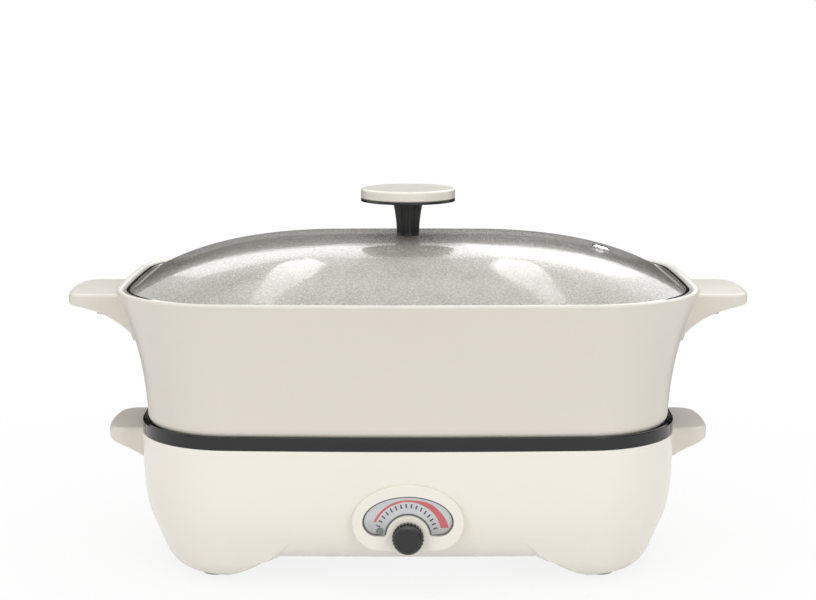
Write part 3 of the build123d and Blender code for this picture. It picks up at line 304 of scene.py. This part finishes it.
def enamelled_pot():
    """Pot coating; the inward faces are greyer, as the inner coat is, and paler as painted light.
    """
    material = moulded("cream_enamel", POT_CREAM, 0.38, grain=1100.0, grain_strength=0.08)
    tree = material.node_tree
    shader = next(node for node in tree.nodes if node.type == "BSDF_PRINCIPLED")
    outer_link = shader.inputs["Base Color"].links[0]
    texture = tree.nodes.new("ShaderNodeTexCoord")
    level = tree.nodes.new("ShaderNodeVectorMath")
    level.operation = "MULTIPLY"
    level.inputs[1].default_value = (1.0, 1.0, 0.0)
    tree.links.new(texture.outputs["Object"], level.inputs[0])
    outwards = tree.nodes.new("ShaderNodeVectorMath")
    outwards.operation = "DOT_PRODUCT"
    tree.links.new(level.outputs["Vector"], outwards.inputs[0])
    tree.links.new(texture.outputs["Normal"], outwards.inputs[1])
    inside = map_range(tree, outwards.outputs["Value"], -INNER_TONE_CHANGE, INNER_TONE_CHANGE, 1.0, 0.0)
    # Inward tone: greyer as the inner coat, and paler as painted light for the pot's shaded
    # inside.
    coat = mix_colours(tree, inside, POT_CREAM, INNER_COAT_AND_PAINTED_LIGHT)
    tree.links.new(outer_link.from_socket, coat.node.inputs[MIX_FIRST])
    tree.links.new(coat, shader.inputs["Base Color"])
    return material


# ---------------------------------------------------------------- materials of the slots
# Colour, roughness and what else differs from the usual, by slot.
MOULDED = {
    "cream_plastic": (CREAM, 0.26, {"grain_strength": 0.015}),
    "pot_handle_plastic": (tinted(POT_CREAM, 1.02), 0.33, {}),
    "leg_cream": (POT_CREAM, 0.35, {}),
    "plate_cream": (tinted(POT_CREAM, 0.98), 0.42, {}),
    "cap_plastic": ((0.77, 0.74, 0.655), 0.3, {"coat": 0.2}),
    "black_gloss": ((0.007, 0.007, 0.0073), 0.08,
                    {"grain": 260.0, "grain_strength": 0.015, "mottle": 0.1}),
    "black_matte": ((0.018, 0.018, 0.018), 0.5, {"grain": 900.0, "grain_strength": 0.25}),
    "black_knob": ((0.013, 0.013, 0.0135), 0.3, {"grain": 1200.0, "grain_strength": 0.08}),
    "ceramic_white": ((0.82, 0.80, 0.76), 0.45, {"grain": 1500.0, "grain_strength": 0.2}),
    "lamp_lens": ((0.16, 0.19, 0.17), 0.12, {"coat": 0.5}),
    "silicone": ((0.48, 0.47, 0.44), 0.55, {}),
    "foot_rubber": ((0.56, 0.54, 0.49), 0.6, {"grain": 1500.0, "grain_strength": 0.25}),
    "wire_brown": ((0.16, 0.06, 0.025), 0.4, {}),
    "wire_blue": ((0.03, 0.10, 0.35), 0.4, {}),
    "wire_green": ((0.25, 0.42, 0.03), 0.4, {}),
}
METALS = {
    "zinc_plate": ((0.55, 0.56, 0.58), 0.38, {"brush_axis": 0}),
    "screw_steel": ((0.60, 0.60, 0.62), 0.3, {}),
    "black_screw": ((0.05, 0.05, 0.052), 0.3, {}),
    "element_steel": ((0.30, 0.28, 0.26), 0.45, {}),
    "pin_steel": ((0.72, 0.71, 0.69), 0.16, {}),
    "contact_nickel": ((0.78, 0.77, 0.74), 0.2, {"brush_axis": 2}),
    "rim_steel": ((0.95, 0.95, 0.95), 0.06, {"strength": 0.03}),
}
materials = {
    "cream_enamel": enamelled_pot(),
    "dial_silver": dial_silver(),
    "clear_lens": clear_lens(),
    "lid_glass": textured_glass(),
}
for build, table in ((moulded, MOULDED), (metal, METALS)):
    for slot_name, (colour, roughness, others) in table.items():
        materials[slot_name] = build(slot_name, colour, roughness, **others)

slots = {row["node"]: row["material_slot"] for row in frame["record"]["subparts"]}
for name, node in nodes.items():
    node.data.materials.clear()
    node.data.materials.append(materials[slots[name]])


# ---------------------------------------------------------------- dial marks
# Angles are in degrees round the dial's axis, from the right. Tables and the window's sizes
# are in millimetres from that axis.
DIAL_Z = 38.8 * MM
PLATE_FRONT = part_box("dial_plate")[0].y
MARK_GAP, MARK_THICKNESS = 0.01 * MM, 0.03 * MM


def flat_marks(name, outlines, material):
    """Thin shapes just in front of the scale plate, from XZ outlines: printed marks, and the
    painted shadow line round the window.
    """
    back = PLATE_FRONT - MARK_GAP
    front = back - MARK_THICKNESS
    vertices, faces = [], []
    for outline in outlines:
        start, count = len(vertices), len(outline)
        vertices += [(x, front, DIAL_Z + z) for x, z in outline]
        vertices += [(x, back, DIAL_Z + z) for x, z in outline]
        faces.append([start + index for index in range(count)])
        faces.append([start + count + index for index in reversed(range(count))])
        for index in range(count):
            following = (index + 1) % count
            faces.append([start + index, start + count + index,
                          start + count + following, start + following])
    piece = add_piece(name, vertices, faces, material)
    piece.data.validate()
    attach(piece, "base")


def along_table(table, share):
    """Smoothly joined value from a table of shares and radii, in metres."""
    for (low, first), (high, second) in zip(table, table[1:]):
        if share <= high:
            part = (share - low) / (high - low)
            part = part * part * (3 - 2 * part)
            return (first + (second - first) * part) * MM
    return table[-1][1] * MM


TICK_COUNT, TICK_START, TICK_END = 16, 160.0, 17.0
TICK_LENGTH, TICK_HALF_WIDTH = 2.8 * MM, 0.5 * MM
TICK_INNER = ((0.0, 19.0), (0.5, 18.9), (1.0, 17.1))


def tick_outlines():
    outlines = []
    for index in range(TICK_COUNT):
        angle = math.radians(TICK_START + (TICK_END - TICK_START) * index / (TICK_COUNT - 1))
        along = Vector((math.cos(angle), math.sin(angle)))
        across = Vector((-along.y, along.x)) * TICK_HALF_WIDTH
        radius = along_table(TICK_INNER, index / (TICK_COUNT - 1))
        inner, outer = along * radius, along * (radius + TICK_LENGTH)
        outlines.append([tuple(inner - across), tuple(outer - across),
                         tuple(outer + across), tuple(inner + across)])
    return outlines


BAND_STEPS = 40
BAND_INNER = ((0.0, 22.8), (0.5, 23.0), (0.75, 22.6), (1.0, 21.9))
BAND_OUTER = ((0.0, 24.4), (0.5, 24.3), (0.75, 26.4), (1.0, 27.1))
BAND_INNER_TURN, BAND_OUTER_TURN = (154.9, 14.8), (156.6, 12.2)


def band_outlines():
    """Heat band, which widens to the right, as short pieces side by side."""
    inner, outer = [], []
    for index in range(BAND_STEPS + 1):
        share = index / BAND_STEPS
        for points, table, (start, end) in ((inner, BAND_INNER, BAND_INNER_TURN),
                                            (outer, BAND_OUTER, BAND_OUTER_TURN)):
            angle = math.radians(start + (end - start) * share)
            radius = along_table(table, share)
            points.append((radius * math.cos(angle), radius * math.sin(angle)))
    return [[inner[index], outer[index], outer[index + 1], inner[index + 1]]
            for index in range(BAND_STEPS)]


# Window: the top arc rises from the shoulders, the corners turn below them, and the arch
# goes round the knob.
WINDOW_HALF, SHOULDER_HEIGHT, TOP_RISE, CORNER_RADIUS, ARCH_RADIUS = 29.45, 9.9, 17.05, 9.35, 14.25
ARCH_START, ARCH_END = 176, 4
TOP_STEPS, CORNER_STEPS, ARCH_STEPS = 24, 6, 20
# Width of the painted shadow line inside the window's edge.
SHADOW_LINE_WIDTH = 1.1


def window_edge(inset):
    """Closed outline of the dial window, a little way in from its edge."""
    corner_x, corner_reach = WINDOW_HALF - CORNER_RADIUS, CORNER_RADIUS - inset
    arch_reach = ARCH_RADIUS + inset
    arcs = (((0, SHOULDER_HEIGHT), WINDOW_HALF - inset, TOP_RISE - inset, 0, 180, TOP_STEPS),
            ((-corner_x, SHOULDER_HEIGHT), corner_reach, corner_reach, 180, 270, CORNER_STEPS),
            ((0, 0), arch_reach, arch_reach, ARCH_START, ARCH_END, ARCH_STEPS),
            ((corner_x, SHOULDER_HEIGHT), corner_reach, corner_reach, 270, 360, CORNER_STEPS))
    points = []
    for (x, z), reach_x, reach_z, start, end, steps in arcs:
        for step in range(steps + 1):
            angle = math.radians(start + (end - start) * step / steps)
            points.append(((x + reach_x * math.cos(angle)) * MM,
                           (z + reach_z * math.sin(angle)) * MM))
    return points


def shadow_line_outlines():
    """Painted shadow: a dark line round the inside of the window, where the bezel's lip shades the
    plate, as short pieces side by side.
    """
    outer, inner = window_edge(0.0), window_edge(SHADOW_LINE_WIDTH)
    return [[outer[index - 1], outer[index], inner[index], inner[index - 1]]
            for index in range(len(outer))]


flat_marks("dial_scale_ticks", tick_outlines(), moulded("scale_ink", (0.035, 0.035, 0.04), 0.4))
flat_marks("dial_heat_band", band_outlines(), moulded("scale_red", (0.62, 0.10, 0.10), 0.35))
# Painted shadow round the inside of the window, where the bezel's lip shades the plate.
flat_marks("dial_window_shadow", shadow_line_outlines(), moulded("window_shadow_paint", (0.09, 0.09, 0.095), 0.4))


# ---------------------------------------------------------------- floor
# Share of the backdrop's glow that seen rays find in the floor: NEAR_SHARE up to NEAR_REACH
# from the middle, where the shadow shows, and all of it from FAR_REACH on.
NEAR_SHARE, NEAR_REACH, FAR_REACH = 0.85, 0.22, 0.60
FLOOR_COLOUR, FLOOR_ROUGHNESS, FLOOR_HALF = (0.86, 0.86, 0.86, 1.0), 0.9, 6.0


def seen_rays(tree):
    """One for camera, mirror and glass rays, and nothing for the rays that light the object."""
    path = tree.nodes.new("ShaderNodeLightPath")
    value = path.outputs["Is Camera Ray"]
    for name in ("Is Glossy Ray", "Is Transmission Ray"):
        value = two_values(tree, "MAXIMUM", value, path.outputs[name])
    return value


def floor_material():
    """White floor that seen rays find nearly as bright as the backdrop, with its shadow."""
    material = bpy.data.materials.new("floor_white")
    tree = empty_tree(material)
    shader = tree.nodes.new("ShaderNodeBsdfPrincipled")
    set_inputs(shader, {"Base Color": FLOOR_COLOUR, "Roughness": FLOOR_ROUGHNESS})
    glow = tree.nodes.new("ShaderNodeEmission")
    reach = tree.nodes.new("ShaderNodeVectorMath")
    reach.operation = "LENGTH"
    tree.links.new(object_coordinates(tree), reach.inputs[0])
    share = map_range(tree, reach.outputs["Value"], NEAR_REACH, FAR_REACH, NEAR_SHARE, 1.0)
    glow_share = two_values(tree, "MULTIPLY", seen_rays(tree), share)
    set_surface(tree, mix_shaders(tree, glow_share, shader.outputs["BSDF"],
                                  glow.outputs["Emission"]))
    return material


def panel(name, centre, half_width, half_height, facing, material):
    """Flat rectangle that faces a point."""
    corners = [(-half_width, -half_height, 0), (half_width, -half_height, 0),
               (half_width, half_height, 0), (-half_width, half_height, 0)]
    piece = add_piece(name, corners, [(0, 1, 2, 3)], material)
    piece.location = centre
    piece.rotation_euler = (Vector(facing) - Vector(centre)).to_track_quat("Z", "Y").to_euler()
    return piece


panel("floor", (0, 0, 0), FLOOR_HALF, FLOOR_HALF, (0, 0, 1), floor_material())


# ---------------------------------------------------------------- what reflections show
# Black cards give glass, chrome and black gloss their dark edges: two beside the camera, one
# far behind the object, and one close behind it for the gloss of the tray. Each has the place
# of its middle from above, half its width, and its height from the floor.
CARDS = {
    "card_left": (-1.07, -1.19, 0.56, 0.70),
    "card_right": (1.44, -0.70, 1.0, 0.70),
    "card_back": (-0.85, 1.75, 1.2, 0.80),
    "card_tray": (0.0, 0.30, 0.6, 0.30),
}
# Soft boxes high over the object: a narrow pair for the bright patches on the front of the
# dome, and a wide pair for its pale ends, the right one brighter. Each has its outline from
# above, its side and its strength.
GLOW_HEIGHT = 1.9
NARROW = ((0.19, 1.35), (0.25, 2.20), (0.294, 1.50), (0.30, 0.79), (0.305, 0.31), (0.33, 0.0),
          (0.33, -0.15), (0.285, -0.15), (0.265, 0.10), (0.235, 0.35), (0.20, 0.75))
WIDE = ((0.22, 1.9), (0.22, 6.0), (4.5, 6.0), (2.2, 0.3), (0.55, 0.3), (0.40, 1.0))
GLOWS = {
    "strip_left": (NARROW, -1, 9.0),
    "strip_right": (NARROW, 1, 9.0),
    "glow_left": (WIDE, -1, 1.3),
    "glow_right": (WIDE, 1, 2.6),
}


def mirror_only(piece):
    """Keep a stage panel out of sight except in reflections."""
    piece.visible_camera = False
    piece.visible_diffuse = False
    piece.visible_transmission = False
    piece.visible_shadow = False


def glow_material(name, strength):
    material = bpy.data.materials.new(name)
    tree = empty_tree(material)
    emission = tree.nodes.new("ShaderNodeEmission")
    emission.inputs["Strength"].default_value = strength
    set_surface(tree, emission.outputs["Emission"])
    return material


card_black = moulded("card_black", (0.004, 0.004, 0.004), 0.9)
for card_name, (x, y, half_width, height) in CARDS.items():
    card = panel(card_name, (x, y, height / 2), half_width, height / 2, (0, 0, height / 2),
                 card_black)
    mirror_only(card)

for glow_name, (outline, side, strength) in GLOWS.items():
    corners = [(side * x, y, GLOW_HEIGHT) for x, y in outline]
    glow_piece = add_piece(glow_name, corners, [range(len(corners))],
                           glow_material(glow_name, strength))
    mirror_only(glow_piece)


# ---------------------------------------------------------------- world and lamps
AMBIENT, BACKDROP = 0.52, 1.0


def white_light(tree, strength):
    node = tree.nodes.new("ShaderNodeBackground")
    set_inputs(node, {"Color": (1.0, 1.0, 1.0, 1.0), "Strength": strength})
    return node.outputs["Background"]


world = bpy.data.worlds.new("studio")
scene.world = world
world_tree = empty_tree(world)
world_light = mix_shaders(world_tree, seen_rays(world_tree), white_light(world_tree, AMBIENT),
                          white_light(world_tree, BACKDROP))
set_surface(world_tree, world_light, "ShaderNodeOutputWorld")

# Soft lamps: place, width, height and watts.
AIM = (0.0, 0.0, 0.15)
LAMPS = {
    "overhead": ((0.0, -0.2, 1.9), 2.2, 1.6, 17.0),
    "front_left": ((-1.3, -1.7, 0.65), 1.2, 0.9, 9.0),
    "front_right": ((1.3, -1.7, 0.65), 1.2, 0.9, 9.0),
    "back": ((0.0, 1.9, 1.3), 1.8, 0.8, 8.0),
}
for lamp_name, (place, width, height, power) in LAMPS.items():
    lamp_data = bpy.data.lights.new(lamp_name, "AREA")
    lamp_data.shape = "RECTANGLE"
    lamp_data.size, lamp_data.size_y = width, height
    lamp_data.energy = power
    lamp = add_object(lamp_name, lamp_data)
    lamp.location = place
    lamp.rotation_euler = (Vector(AIM) - Vector(place)).to_track_quat("-Z", "Y").to_euler()
    lamp.visible_camera = False
